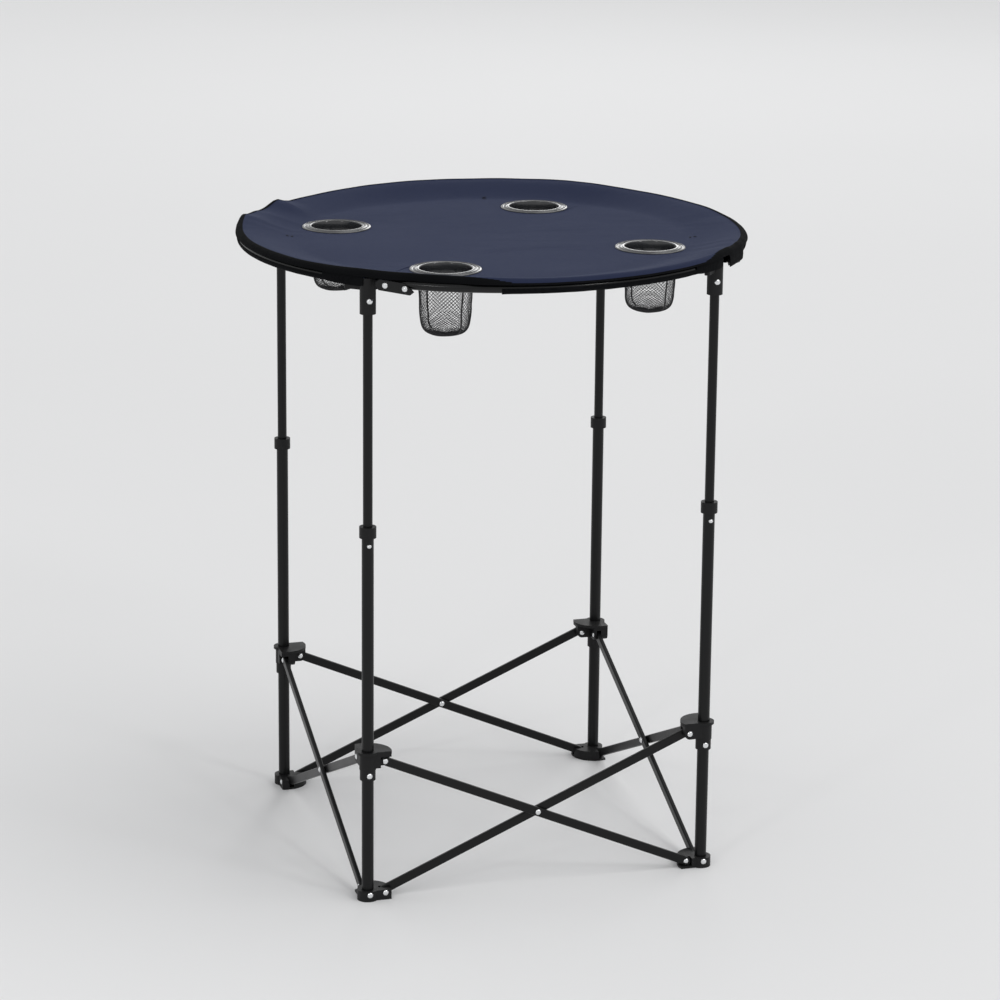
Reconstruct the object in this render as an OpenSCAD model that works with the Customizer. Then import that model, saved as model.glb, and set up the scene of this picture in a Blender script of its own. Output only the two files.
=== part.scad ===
// Folding round table on four telescopic legs, with a scissor base and a cloth top on a tube rim.
// Millimetres, +Z up. The origin is on the ground, under the middle of the top.
// +X runs to the right along the front side and +Y runs to the back.
// Corner 0 is front left, 1 front right, 2 back right and 3 back left. Side k runs from corner k to the next one.

/* [Layout] */
// Distance between neighbouring leg axes
leg_spacing = 503; // [460:1:540]
// Height of the cloth top above the ground, over the rim
table_h = 912; // [885:1:940]
// Distance from a leg axis out to the rim's centre line
corner_out = 3.8; // [3:0.1:5]

/* [Lower legs] */
// Outer diameter of a lower leg tube
lower_od = 17; // [16.5:0.1:18]
// Wall of a lower leg tube
lower_wall = 1.2; // [0.8:0.1:1.3]
// Height of the top end of a lower leg tube
lower_top = 549; // [540:1:560]
// Outer diameter of the guide collar on top of a lower leg
collar_od = 24; // [22:0.5:27]
// Length of the guide collar
collar_l = 16; // [12:1:18]
// Thickness of the guide lip over the tube end
lip_t = 3; // [2:0.5:4]
// Height of the stop ring's top face, where the slider rests
stop_z = 195.5; // [185:0.5:198]
// Outer diameter of the stop ring
stop_od = 22.4; // [21:0.2:24]
// Length of the stop ring
stop_l = 15; // [12:1:18]

/* [Feet] */
// Reach of a foot from the leg axis to its rounded front
foot_reach = 34; // [33:0.5:38]
// Height of a foot
foot_h = 15; // [14.5:0.5:20]
// Thickness of a foot's sole
sole_t = 3; // [2:0.25:3.25]
// Height of the bar pivot in a foot
foot_pivot_z = 10; // [9.8:0.1:11]

/* [Sliders] */
// Height of the bar pivot in a slider when the table is open
slider_pivot_z = 207; // [206:0.5:212]
// Radius of the slider's sleeve
slider_r = 12; // [11.2:0.1:13]
// Reach of the slider's flange from the leg axis
slider_reach = 34; // [33:0.5:38]
// Thickness of the slider's flange
flange_t = 4; // [3:0.5:5]
// Running clearance between a slider and its leg
slider_gap = 0.25; // [0.1:0.05:0.4]

/* [Scissor bars] */
// Height of a bar's section
bar_w = 12.7; // [10:0.1:13]
// Thickness of a bar's section
bar_t = 6.4; // [5:0.1:6.6]
// Wall of a bar
bar_wall = 1; // [0.8:0.1:1.4]
// Corner radius of a bar's section
bar_round = 1.8; // [1.5:0.1:2.2]
// Distance from a leg axis to the bar pivots at that leg
pivot_off = 24; // [23.5:0.25:26]
// Space between two crossing bars
lane_gap = 0.8; // [0.6:0.1:1.2]

/* [Rivets] */
// Shank diameter of a rivet
rivet_d = 4.8; // [4:0.1:5]
// Head diameter of a rivet
head_d = 8; // [7:0.1:9]
// Height of a rivet's domed head
head_h = 1.7; // [1.2:0.1:2.2]
// Radial clearance of a bar on its rivet
pin_gap = 0.08; // [0.04:0.01:0.1]

/* [Upper legs] */
// Outer diameter of an upper leg tube
upper_od = 13.5; // [12.5:0.1:13.8]
// Wall of an upper leg tube
upper_wall = 1.2; // [0.8:0.1:1.4]
// Height of the lower end of an upper leg at the high setting
upper_bottom = 470; // [440:1:490]
// Radial clearance of an upper leg in its guide collar
guide_gap = 0.08; // [0.04:0.01:0.1]
// Diameter of the spring button
button_d = 6.4; // [5:0.1:7]
// Drop from the guide collar's lower face to the button's axis
button_drop = 11; // [8:0.5:14]
// How far the button stands out of the lower leg
button_out = 2.4; // [1.5:0.1:3]

/* [Top brackets] */
// Outer diameter of a bracket's socket
socket_od = 22.5; // [20:0.5:24]
// Length of a bracket's socket, with its cap
socket_l = 51; // [40:1:58]
// Thickness of the cap over the upper leg's end
cap_t = 8; // [5:1:10]
// Drop from the cloth top to the bracket's top face
bracket_drop = 7; // [6.5:0.5:9]
// Distance from a leg axis to the rim's hinge pin
hinge_off = 18; // [17.5:0.25:20]
// Thickness of a hinge cheek
cheek_t = 3.6; // [3:0.1:4]

/* [Rim] */
// Outer diameter of the rim tube
rim_d = 12.7; // [11:0.1:13]
// Wall of the rim tube
rim_wall = 1.2; // [0.8:0.1:1.6]
// Angle past the corner at which a rim tube starts
rim_start = 4; // [4:0.5:6]
// Angle short of the next corner at which a rim tube ends
rim_end = 5; // [4.5:0.5:7]
// Length of the riveted end plate
plate_l = 56; // [52:1:60]
// Distance past the corner to the middle of the end plate
plate_off = 46.5; // [42:0.5:52]
// Height of the end plate
plate_h = 15; // [13:1:17]
// Thickness of the end plate
plate_t = 3; // [2:0.5:4]
// Distance between the plate's two rivets
plate_pitch = 29; // [24:1:34]
// Downward tilt of the plate away from its leg
plate_tilt = 4.4; // [0:0.2:6]

/* [Cloth and cup holders] */
// Thickness of the cloth top
cloth_t = 2; // [1.5:0.1:2.5]
// Thickness of the bound edge over the rim tube
edge_t = 5; // [4:0.5:6]
// Depth of the cloth's middle under its rim
sag = 14; // [12:0.5:16]
// Width of the flat cloth around a cup ring's flange
ring_land = 1.5; // [1:0.1:4]
// Width of the level cloth inside the rim tube
rim_land = 6; // [5:0.5:9]
// Overhang of the cloth past the rim tube
edge_out = 2; // [1.9:0.1:3]
// Depth of the hem that covers the rim tube
hem_h = 19; // [16:0.5:21]
// Angle past a corner at which the hem starts
hem_start = 30.5; // [20:0.5:40]
// Width of the gap between neighbouring cloth quarters
cloth_gap = 0.6; // [0.4:0.1:1]
// Distance from the middle of the top to a cup holder's axis
cup_off = 235; // [225:1:245]
// Distance from a cup ring's flange to the cloth's corner line
ring_edge = 0.8; // [0.6:0.1:4]
// Outer diameter of a cup ring's flange
ring_od = 101; // [95:0.5:102]
// Inner diameter of a cup ring
ring_id = 73; // [68:0.5:76]
// Wall of a cup ring's barrel
ring_wall = 3; // [2:0.25:4]
// Height of the ring's flange above the cloth
ring_t = 2.5; // [1.5:0.25:3.5]
// Depth of the ring's barrel under the cloth
barrel_h = 13; // [9:1:15]
// Depth of the netting bag under the ring
net_h = 77; // [60:1:84]
// Diameter of the netting bag's bottom
net_bottom_d = 68; // [60:1:72]
// Thickness of the netting
net_t = 1.4; // [1:0.1:1.5]

/* [Hidden] */
$fn = 48;
half = leg_spacing / 2;
rim_r = half * sqrt(2) + corner_out;
top_r = rim_r + rim_d / 2 + edge_out;
rise_r = rim_r - rim_d / 2 - rim_land;
flat_r = cup_off + ring_od / 2 + ring_land;
cup_angle = asin((ring_od / 2 + ring_edge) / cup_off);
lane = bar_t / 2 + lane_gap / 2;
slot_w = bar_t + lane_gap;
ear_half = slot_w + 3.4;
pin_r = rivet_d / 2;
bar_run = leg_spacing - 2 * pivot_off;
bar_rise = slider_pivot_z - foot_pivot_z;
bar_len = sqrt(bar_run * bar_run + bar_rise * bar_rise);
bar_tilt = atan2(bar_rise, bar_run);
cross_z = (foot_pivot_z + slider_pivot_z) / 2;
nose_r = bar_w / 2;
slot_from = pivot_off - nose_r - 1.1;
foot_corner_r = 15;
collar_z = lower_top + lip_t - collar_l;
button_z = collar_z - button_drop;
slider_bottom = stop_z + 0.3;
slider_roof = slider_pivot_z + nose_r + 5.6;
ear_r = 8;
bracket_top = table_h - bracket_drop;
socket_z = bracket_top - socket_l;
upper_top = bracket_top - cap_t;
rim_z = table_h - edge_t - rim_d / 2;
hinge_z = rim_z - 5;
lug_r = 5.5;
lug_half = 5;
cheek_gap = 0.4;
cheek_r = 6.5;
saddle_gap = 0.3;
saddle_t = 7;
strut_w = 7;
strut_x = hinge_off + cheek_r + 8;
strut_end = half - sqrt(rim_r * rim_r - (half - strut_x) * (half - strut_x)) - 2.4;
plate_corner = 5;
plate_cut = 14;
plate_drop = 2.2;
plate_mid = atan2(plate_off, rim_r);
cloth_z = table_h - sag;
ring_clear = 0.5;
clamp_w = 7;
clamp_t = 3;
net_bevel_r = 6;
net_bevel_h = 8;

// Puts its children at corner k, with the leg axis as their Z axis, side k along +X and side k-1 along +Y.
module corner(k) {
    rotate([0, 0, 90 * k]) translate([-half, -half, 0]) children();
}

// Turns its children so that what faces -Y in a corner's frame faces the front or the back of the table.
module outward(k) {
    rotate([0, 0, k % 2 == 0 ? 0 : -90]) children();
}

// A cylinder along +Y from y = a to y = b.
module along_y(a, b, r) {
    translate([0, a, 0]) rotate([-90, 0, 0]) cylinder(r = r, h = b - a);
}

// Quarter fan that covers both bar ears of a hub.
module fan(reach, h) {
    cylinder(r = foot_corner_r, h = h);
    intersection() {
        cylinder(r = reach, h = h, $fn = 96);
        translate([-ear_half, -ear_half, 0]) cube([reach + ear_half, reach + ear_half, h]);
    }
}

// Slot for an inner bar's end in the +X ear of a hub.
module bar_slot(from_z, to_z) {
    translate([slot_from, lane - slot_w / 2, from_z]) cube([foot_reach + slider_reach, slot_w, to_z - from_z]);
}

// Recess for an outer bar's end in the +X ear of a hub, open to the outside.
module bar_recess(from_z, to_z) {
    translate([slot_from, -ear_half - 1, from_z])
        cube([foot_reach + slider_reach, ear_half + 1 - lane + slot_w / 2, to_z - from_z]);
}

// Mirrors its children from the +X ear to the +Y ear.
module other_ear() {
    mirror([1, -1, 0]) children();
}

// Domed rivet head on the plane y = 0 that stands out along -Y.
module rivet_head() {
    dome_r = (head_d * head_d / 4 + head_h * head_h) / (2 * head_h);
    rotate([90, 0, 0]) rotate_extrude() intersection() {
        translate([0, head_h - dome_r]) circle(r = dome_r, $fn = 96);
        square([head_d / 2, head_h]);
    }
}

// Rivet along Y with a head at each end, from y = -a to y = b.
module through_rivet(a, b) {
    along_y(-a, b, pin_r);
    translate([0, -a, 0]) rivet_head();
    mirror([0, 1, 0]) translate([0, -b, 0]) rivet_head();
}

// Blind rivet along Y whose head sits at y = -a and whose shank ends at y = -b.
module blind_rivet(a, b) {
    along_y(-a, -b, pin_r);
    translate([0, -a, 0]) rivet_head();
}

module foot(k) {
    color("#1b1b1d") corner(k) difference() {
        fan(foot_reach, foot_h);
        translate([0, 0, sole_t]) cylinder(d = lower_od, h = foot_h);
        bar_slot(sole_t, foot_h + 1);
        other_ear() bar_recess(sole_t, foot_h + 1);
        translate([pivot_off, 0, foot_pivot_z]) along_y(-ear_half - 1, ear_half, pin_r);
        other_ear() translate([pivot_off, 0, foot_pivot_z]) along_y(-ear_half - 1, ear_half, pin_r);
        outward(k) translate([0, 0, foot_pivot_z]) along_y(-foot_corner_r - 1, 0, pin_r);
    }
}

module lower_leg(k) {
    color("#202124") corner(k) difference() {
        translate([0, 0, sole_t]) cylinder(d = lower_od, h = lower_top - sole_t);
        translate([0, 0, sole_t - 1]) cylinder(r = lower_od / 2 - lower_wall, h = lower_top);
        outward(k) translate([0, 0, foot_pivot_z]) along_y(-lower_od, 0, pin_r);
        outward(k) translate([0, 0, stop_z - stop_l / 2]) along_y(-lower_od, 0, pin_r);
        outward(k) translate([0, 0, button_z]) along_y(-lower_od, 0, button_d / 2 + 0.15);
    }
}

// Guide collar on the tube's top end, and the stop ring that the slider rests on.
module collars(k) {
    color("#161618") corner(k) {
        difference() {
            translate([0, 0, collar_z]) cylinder(d = collar_od, h = collar_l);
            translate([0, 0, collar_z - 1]) cylinder(d = lower_od, h = collar_l - lip_t + 1);
            translate([0, 0, collar_z]) cylinder(r = upper_od / 2 + guide_gap, h = collar_l + 1);
        }
        difference() {
            translate([0, 0, stop_z - stop_l]) cylinder(d = stop_od, h = stop_l);
            translate([0, 0, stop_z - stop_l - 1]) cylinder(d = lower_od, h = stop_l + 2);
            outward(k) translate([0, 0, stop_z - stop_l / 2]) along_y(-stop_od, 0, pin_r);
        }
    }
}

// Two bar pivots and the leg rivet in the foot, and the rivet of the stop ring.
module leg_rivets(k) {
    inner = lower_od / 2 - lower_wall;
    color("#c9cbce") corner(k) {
        translate([pivot_off, 0, foot_pivot_z]) blind_rivet(ear_half, -ear_half);
        other_ear() translate([pivot_off, 0, foot_pivot_z]) blind_rivet(slot_w, -ear_half);
        outward(k) translate([0, 0, foot_pivot_z]) blind_rivet(foot_corner_r, inner);
        outward(k) translate([0, 0, stop_z - stop_l / 2]) blind_rivet(stop_od / 2, inner);
    }
}

// Ear of a slider in the +X direction.
module slider_ear() {
    translate([0, -ear_half, slider_pivot_z - ear_r])
        cube([pivot_off, 2 * ear_half, slider_roof - slider_pivot_z + ear_r]);
    translate([pivot_off, 0, slider_pivot_z]) along_y(-ear_half, ear_half, ear_r);
    translate([pivot_off, -ear_half, slider_pivot_z])
        cube([ear_r, 2 * ear_half, slider_roof - slider_pivot_z]);
}

module slider(k) {
    roof_cut = slider_pivot_z + nose_r + 1.5;
    color("#1b1b1d") corner(k) difference() {
        union() {
            translate([0, 0, slider_bottom]) cylinder(r = slider_r, h = slider_roof - slider_bottom);
            slider_ear();
            other_ear() slider_ear();
            translate([0, 0, slider_roof]) fan(slider_reach, flange_t);
        }
        translate([0, 0, slider_bottom - 1]) cylinder(r = lower_od / 2 + slider_gap, h = slider_roof);
        bar_recess(slider_bottom - 1, roof_cut);
        other_ear() bar_slot(slider_bottom - 1, roof_cut);
        translate([pivot_off, 0, slider_pivot_z]) along_y(-ear_half - 1, ear_half + 1, pin_r);
        other_ear() translate([pivot_off, 0, slider_pivot_z]) along_y(-ear_half - 1, ear_half + 1, pin_r);
    }
}

module slider_rivets(k) {
    color("#c9cbce") corner(k) {
        translate([pivot_off, 0, slider_pivot_z]) through_rivet(slot_w, ear_half);
        other_ear() translate([pivot_off, 0, slider_pivot_z]) through_rivet(ear_half, ear_half);
    }
}

// Rectangle centred on the origin with rounded corners.
module rounded_section(w, h, r) {
    square([w - 2 * r, h], center = true);
    square([w, h - 2 * r], center = true);
    for (x = [-1, 1], y = [-1, 1]) translate([x * (w / 2 - r), y * (h / 2 - r)]) circle(r = r);
}

// Flat tube along +X from one pivot to the other, centred on y = 0, with round ends and three rivet holes.
module bar() {
    difference() {
        intersection() {
            translate([-nose_r, 0, 0]) rotate([90, 0, 90]) linear_extrude(bar_len + bar_w)
                rounded_section(bar_t, bar_w, bar_round);
            union() {
                for (x = [0, bar_len]) translate([x, 0, 0]) along_y(-bar_t, bar_t, nose_r);
                translate([0, -bar_t, -nose_r]) cube([bar_len, 2 * bar_t, bar_w]);
            }
        }
        translate([-nose_r - 1, 0, 0]) rotate([90, 0, 90]) linear_extrude(bar_len + bar_w + 2)
            rounded_section(bar_t - 2 * bar_wall, bar_w - 2 * bar_wall, bar_round - 0.9);
        for (x = [0, bar_len / 2, bar_len]) translate([x, 0, 0]) along_y(-bar_t, bar_t, pin_r + pin_gap);
    }
}

// Bar in the outer lane, from the foot of the next corner up to slider k, with the crossing stud fixed in it.
module outer_bar(k) {
    color("#202124") rotate([0, 0, 90 * k]) translate([0, -half - lane, 0]) {
        translate([half - pivot_off, 0, foot_pivot_z]) rotate([0, bar_tilt, 0]) mirror([1, 0, 0]) bar();
        translate([0, 0, cross_z]) {
            along_y(-bar_t / 2, 2 * lane + bar_t / 2 + lane_gap, pin_r);
            difference() {
                along_y(-bar_t / 2, bar_t / 2, pin_r + 1.2);
                along_y(-bar_t, bar_t, pin_r);
            }
            translate([0, -bar_t / 2, 0]) rivet_head();
            mirror([0, 1, 0]) translate([0, -2 * lane - bar_t / 2 - lane_gap, 0]) rivet_head();
        }
    }
}

// Bar in the inner lane, from foot k up to the slider of the next corner.
module inner_bar(k) {
    color("#202124") rotate([0, 0, 90 * k]) translate([-half + pivot_off, -half + lane, foot_pivot_z])
        rotate([0, -bar_tilt, 0]) bar();
}

module upper_leg(k) {
    color("#202124") corner(k) difference() {
        translate([0, 0, upper_bottom]) cylinder(d = upper_od, h = upper_top - upper_bottom);
        translate([0, 0, upper_bottom - 1]) cylinder(r = upper_od / 2 - upper_wall, h = table_h);
        outward(k) translate([0, 0, button_z]) along_y(-lower_od, 0, button_d / 2 + 0.15);
    }
}

// Spring button in the lower leg's hole, clear of the upper leg until it is pressed.
module button(k) {
    from_y = upper_od / 2 + 0.12;
    to_y = lower_od / 2 + button_out;
    dome_r = (button_d * button_d / 4 + button_out * button_out) / (2 * button_out);
    color("#c9cbce") corner(k) outward(k) translate([0, -from_y, button_z]) rotate([90, 0, 0])
        rotate_extrude() intersection() {
            square([button_d / 2, to_y - from_y]);
            translate([0, to_y - from_y - dome_r]) circle(r = dome_r, $fn = 96);
        }
}

// Round-ended plate on edge, from the leg axis to the hinge pin, between y = a and y = b.
module hinge_cheek(a, b) {
    translate([hinge_off, 0, hinge_z]) along_y(a, b, cheek_r);
    translate([0, a, hinge_z - cheek_r]) cube([hinge_off, b - a, 2 * cheek_r]);
}

// Socket on the upper leg, hinge fork with its pin, and the saddle that carries the end of the next rim tube.
module bracket(k) {
    fork_in = lug_half + cheek_gap;
    fork_out = fork_in + cheek_t;
    saddle_top = rim_z - rim_d / 2 - saddle_gap;
    color("#1b1b1d") corner(k) difference() {
        union() {
            translate([0, 0, socket_z]) cylinder(d = socket_od, h = socket_l);
            hinge_cheek(-fork_out, -fork_in);
            hinge_cheek(fork_in, fork_out);
            translate([hinge_off, 0, hinge_z]) {
                along_y(-fork_out, fork_out, pin_r);
                translate([0, -fork_out, 0]) rivet_head();
                mirror([0, 1, 0]) translate([0, -fork_out, 0]) rivet_head();
            }
            saddle_arm(saddle_top);
        }
        translate([0, 0, socket_z - 1]) cylinder(d = upper_od, h = upper_top - socket_z + 1);
    }
}

// Arm from the leg axis to the point under the end of the rim tube of the side before this corner.
module saddle_arm(top) {
    end_x = half - rim_r * cos(45 + rim_end);
    end_y = rim_r * sin(45 + rim_end) - half;
    reach = sqrt(end_x * end_x + end_y * end_y);
    rotate([0, 0, 180 - atan2(end_x, end_y)]) translate([0, -4, top - saddle_t]) {
        cube([reach, 8, saddle_t]);
        translate([reach, 4, 0]) cylinder(r = 4, h = saddle_t);
    }
}

// Plate against the rim tube's outer side, with two rivet heads, cut off aslant at the far end.
module end_plate() {
    rotate([90, 0, 90]) linear_extrude(plate_t) polygon([
        [-plate_l / 2, -plate_corner], [-plate_l / 2 + plate_corner, 0], [plate_l / 2 - plate_cut, 0],
        [plate_l / 2, -plate_h + plate_corner], [plate_l / 2 - plate_corner, -plate_h],
        [-plate_l / 2 + plate_corner, -plate_h], [-plate_l / 2, -plate_h + plate_corner]
    ]);
    for (side = [-1, 1]) translate([plate_t, side * plate_pitch / 2, -plate_h / 2])
        rotate([0, 0, 90]) rivet_head();
}

// Rim tube of one side, with its riveted end plate and its hinge lug.
module rim(k) {
    sweep = 90 - rim_start - rim_end;
    color("#202124") rotate([0, 0, 90 * k]) difference() {
        union() {
            translate([0, 0, rim_z]) rotate([0, 0, rim_start - 135]) rotate_extrude(angle = sweep, $fn = 180)
                translate([rim_r, 0]) circle(d = rim_d);
            rotate([0, 0, plate_mid - 135])
                translate([rim_r + rim_d / 2 - 1, 0, rim_z + rim_d / 2 - plate_drop - plate_h / 2])
                    rotate([-plate_tilt, 0, 0]) translate([0, 0, plate_h / 2]) end_plate();
            translate([-half, -half, 0]) {
                translate([hinge_off, 0, hinge_z]) along_y(-lug_half, lug_half, lug_r);
                translate([hinge_off, -lug_half, hinge_z - lug_r])
                    cube([strut_x - hinge_off, 2 * lug_half, 2 * lug_r]);
                translate([strut_x - strut_w / 2, strut_end, hinge_z - strut_w / 2])
                    cube([strut_w, lug_half - strut_end, strut_w]);
            }
        }
        translate([0, 0, rim_z]) rotate([0, 0, rim_start - 136]) rotate_extrude(angle = sweep + 2, $fn = 180)
            translate([rim_r, 0]) circle(r = rim_d / 2 - rim_wall);
        translate([hinge_off - half, -half, hinge_z]) along_y(-lug_half - 1, lug_half + 1, pin_r + pin_gap);
    }
}

// Plan of the cloth between the two corner lines of a side.
module quarter() {
    inset = cloth_gap / 2 * sqrt(2);
    polygon([[0, -inset], [-top_r, -top_r - inset], [top_r, -top_r - inset]]);
}

// Section of the cloth from the middle to the edge, flat under the cup holders, with a thick edge over the rim.
module dish_profile() {
    polygon([
        [0, cloth_z - cloth_t], [flat_r, cloth_z - cloth_t], [rise_r, table_h - cloth_t],
        [rim_r - rim_d / 2, table_h - cloth_t], [rim_r - rim_d / 2, table_h - edge_t], [top_r, table_h - edge_t],
        [top_r, table_h], [rise_r, table_h], [flat_r, cloth_z], [0, cloth_z]
    ]);
}

// Puts its children on the axis of the cup holder of side k.
module at_cup(k) {
    rotate([0, 0, 90 * k - 135 + cup_angle]) translate([cup_off, 0, 0]) children();
}

module cloth(k) {
    hole_r = ring_id / 2 + ring_wall + ring_clear;
    color("#2b3152") difference() {
        union() {
            intersection() {
                rotate_extrude($fn = 360) dish_profile();
                rotate([0, 0, 90 * k]) translate([0, 0, cloth_z - cloth_t - 1])
                    linear_extrude(sag + cloth_t + 2) quarter();
            }
            translate([0, 0, table_h - hem_h]) rotate([0, 0, 90 * k - 135 + hem_start])
                rotate_extrude(angle = 89 - hem_start, $fn = 360)
                    translate([top_r - 1.7, 0]) square([1.5, hem_h - cloth_t / 2]);
        }
        at_cup(k) translate([0, 0, cloth_z - cloth_t - 1]) cylinder(r = hole_r, h = cloth_t + 2);
    }
}

// Cup ring with its flange above the cloth, its barrel and the clamp flange under the cloth.
module cup_ring(k) {
    bore_r = ring_id / 2;
    wall_r = bore_r + ring_wall;
    low = -cloth_t - barrel_h;
    color("#121317") at_cup(k) translate([0, 0, cloth_z]) rotate_extrude($fn = 96) polygon([
        [bore_r, low], [wall_r, low], [wall_r, -cloth_t - clamp_t], [wall_r + clamp_w, -cloth_t - clamp_t],
        [wall_r + clamp_w, -cloth_t], [wall_r, -cloth_t], [wall_r, 0], [ring_od / 2, 0],
        [ring_od / 2, ring_t / 2], [ring_od / 2 - 3, ring_t], [bore_r + 1.5, ring_t], [bore_r, ring_t - 1]
    ]);
}

// Netting bag that hangs from the barrel's lower edge.
module cup_net(k) {
    top_rad = ring_id / 2 + ring_wall / 2 + net_t / 2;
    low_rad = net_bottom_d / 2;
    color("#26272b") at_cup(k) translate([0, 0, cloth_z - cloth_t - barrel_h - net_h])
        rotate_extrude($fn = 96) polygon([
            [0, 0], [low_rad - net_bevel_r, 0], [low_rad, net_bevel_h], [top_rad, net_h],
            [top_rad - net_t, net_h], [low_rad - net_t, net_bevel_h + net_t / 2],
            [low_rad - net_bevel_r - net_t / 2, net_t], [0, net_t]
        ]);
}

foot(0);  // front_left_foot
foot(1);  // front_right_foot
foot(2);  // back_right_foot
foot(3);  // back_left_foot
lower_leg(0);  // front_left_lower_leg
lower_leg(1);  // front_right_lower_leg
lower_leg(2);  // back_right_lower_leg
lower_leg(3);  // back_left_lower_leg
collars(0);  // front_left_collars
collars(1);  // front_right_collars
collars(2);  // back_right_collars
collars(3);  // back_left_collars
leg_rivets(0);  // front_left_leg_rivets
leg_rivets(1);  // front_right_leg_rivets
leg_rivets(2);  // back_right_leg_rivets
leg_rivets(3);  // back_left_leg_rivets
slider(0);  // front_left_slider
slider(1);  // front_right_slider
slider(2);  // back_right_slider
slider(3);  // back_left_slider
slider_rivets(0);  // front_left_slider_rivets
slider_rivets(1);  // front_right_slider_rivets
slider_rivets(2);  // back_right_slider_rivets
slider_rivets(3);  // back_left_slider_rivets
outer_bar(0);  // front_outer_bar
outer_bar(1);  // right_outer_bar
outer_bar(2);  // back_outer_bar
outer_bar(3);  // left_outer_bar
inner_bar(0);  // front_inner_bar
inner_bar(1);  // right_inner_bar
inner_bar(2);  // back_inner_bar
inner_bar(3);  // left_inner_bar
upper_leg(0);  // front_left_upper_leg
upper_leg(1);  // front_right_upper_leg
upper_leg(2);  // back_right_upper_leg
upper_leg(3);  // back_left_upper_leg
bracket(0);  // front_left_bracket
bracket(1);  // front_right_bracket
bracket(2);  // back_right_bracket
bracket(3);  // back_left_bracket
button(0);  // front_left_button
button(1);  // front_right_button
button(2);  // back_right_button
button(3);  // back_left_button
rim(0);  // front_rim
rim(1);  // right_rim
rim(2);  // back_rim
rim(3);  // left_rim
cloth(0);  // front_cloth
cloth(1);  // right_cloth
cloth(2);  // back_cloth
cloth(3);  // left_cloth
cup_ring(0);  // front_cup_ring
cup_ring(1);  // right_cup_ring
cup_ring(2);  // back_cup_ring
cup_ring(3);  // left_cup_ring
cup_net(0);  // front_cup_net
cup_net(1);  // right_cup_net
cup_net(2);  // back_cup_net
cup_net(3);  // left_cup_net
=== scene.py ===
import math
import bmesh
import bpy
from mathutils import Matrix, Vector, noise
from mathutils.bvhtree import BVHTree


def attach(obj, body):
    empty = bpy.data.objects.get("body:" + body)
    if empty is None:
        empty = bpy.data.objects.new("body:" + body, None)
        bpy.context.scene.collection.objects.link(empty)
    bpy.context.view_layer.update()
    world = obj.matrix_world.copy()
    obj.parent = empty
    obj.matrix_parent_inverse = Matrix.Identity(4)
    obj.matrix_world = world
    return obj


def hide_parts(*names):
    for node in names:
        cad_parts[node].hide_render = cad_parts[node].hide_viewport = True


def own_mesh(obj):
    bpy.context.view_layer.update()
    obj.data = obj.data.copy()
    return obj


# Folding round table: cloth top, hems, cup rings, netting, bright rivets and finishes on the fixed frame.
# Metres. Each piece of a side is made for the front side and turned into its place.

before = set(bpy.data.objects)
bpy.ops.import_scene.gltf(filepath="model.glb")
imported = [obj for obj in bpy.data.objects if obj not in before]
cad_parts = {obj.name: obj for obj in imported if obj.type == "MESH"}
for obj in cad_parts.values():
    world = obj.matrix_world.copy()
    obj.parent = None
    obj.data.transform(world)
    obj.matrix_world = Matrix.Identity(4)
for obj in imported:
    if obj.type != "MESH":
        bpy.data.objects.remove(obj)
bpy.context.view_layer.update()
print("stage: frame loaded,", len(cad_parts), "nodes")

sides = ["front", "right", "back", "left"]
corners = ["front_left", "front_right", "back_right", "back_left"]

layout = {
    "half": 0.2515,        # leg axis from the middle, along X and Y
    "startAngle": -135,    # the front side's first corner, seen from above
    "rimRadius": 0.3595,
    "rimHeight": 0.90065,  # centre line of the rim tube
    "cupOff": 0.235,       # cup axis from the middle
    "cupAngle": 12.6,      # and past the corner
    "clothLevel": 0.898,   # flat middle of the cloth
}


# --- mesh helpers ---

def linkMesh(name, bm, materials, sharpAngle=None):
    if sharpAngle is not None:
        for edge in bm.edges:
            if len(edge.link_faces) == 2 and edge.calc_face_angle(0) > math.radians(sharpAngle):
                edge.smooth = False
    for face in bm.faces:
        face.smooth = True
    mesh = bpy.data.meshes.new(name)
    bm.to_mesh(mesh)
    bm.free()
    for material in materials:
        mesh.materials.append(material)
    piece = bpy.data.objects.new(name, mesh)
    bpy.context.scene.collection.objects.link(piece)
    return piece


def profileEdges(bm, points):
    verts = [bm.verts.new(point) for point in points]
    edges = [bm.edges.new(pair) for pair in zip(verts, verts[1:])]
    return verts + edges


def spinProfile(bm, points, centre=(0, 0, 0), axis=(0, 0, 1), angle=math.tau, steps=64):
    geometry = profileEdges(bm, points)
    full = abs(angle - math.tau) < 1e-6
    bmesh.ops.spin(bm, geom=geometry, cent=centre, axis=axis, angle=angle, steps=steps, use_merge=full)
    bmesh.ops.remove_doubles(bm, verts=bm.verts, dist=1e-6)


def share(value, first, last):
    # how far a value is from the first to the last, kept within 0 and 1
    return min(max((value - first) / (last - first), 0), 1)


def outwardAt(place):
    return Vector((place.x, place.y, 0)).normalized()


def faceOutwards(bm, lowest=0):
    # the faces above a height decide which way is out
    bmesh.ops.recalc_face_normals(bm, faces=bm.faces)
    middles = [(face.normal, face.calc_center_median()) for face in bm.faces]
    if sum(normal.dot(outwardAt(middle)) for normal, middle in middles if middle.z > lowest) < 0:
        bmesh.ops.reverse_faces(bm, faces=bm.faces)


def turnToStart(bm, degrees=0):
    # from the X axis to an angle past the front side's first corner
    turn = Matrix.Rotation(math.radians(layout["startAngle"] + degrees), 3, "Z")
    bmesh.ops.rotate(bm, cent=(0, 0, 0), matrix=turn, verts=bm.verts)


def pastCorner(place):
    return math.degrees(math.atan2(place.y, place.x)) - layout["startAngle"]


def turnToSide(bm, k):
    bmesh.ops.rotate(bm, cent=(0, 0, 0), matrix=Matrix.Rotation(math.pi / 2 * k, 3, "Z"), verts=bm.verts)


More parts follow.
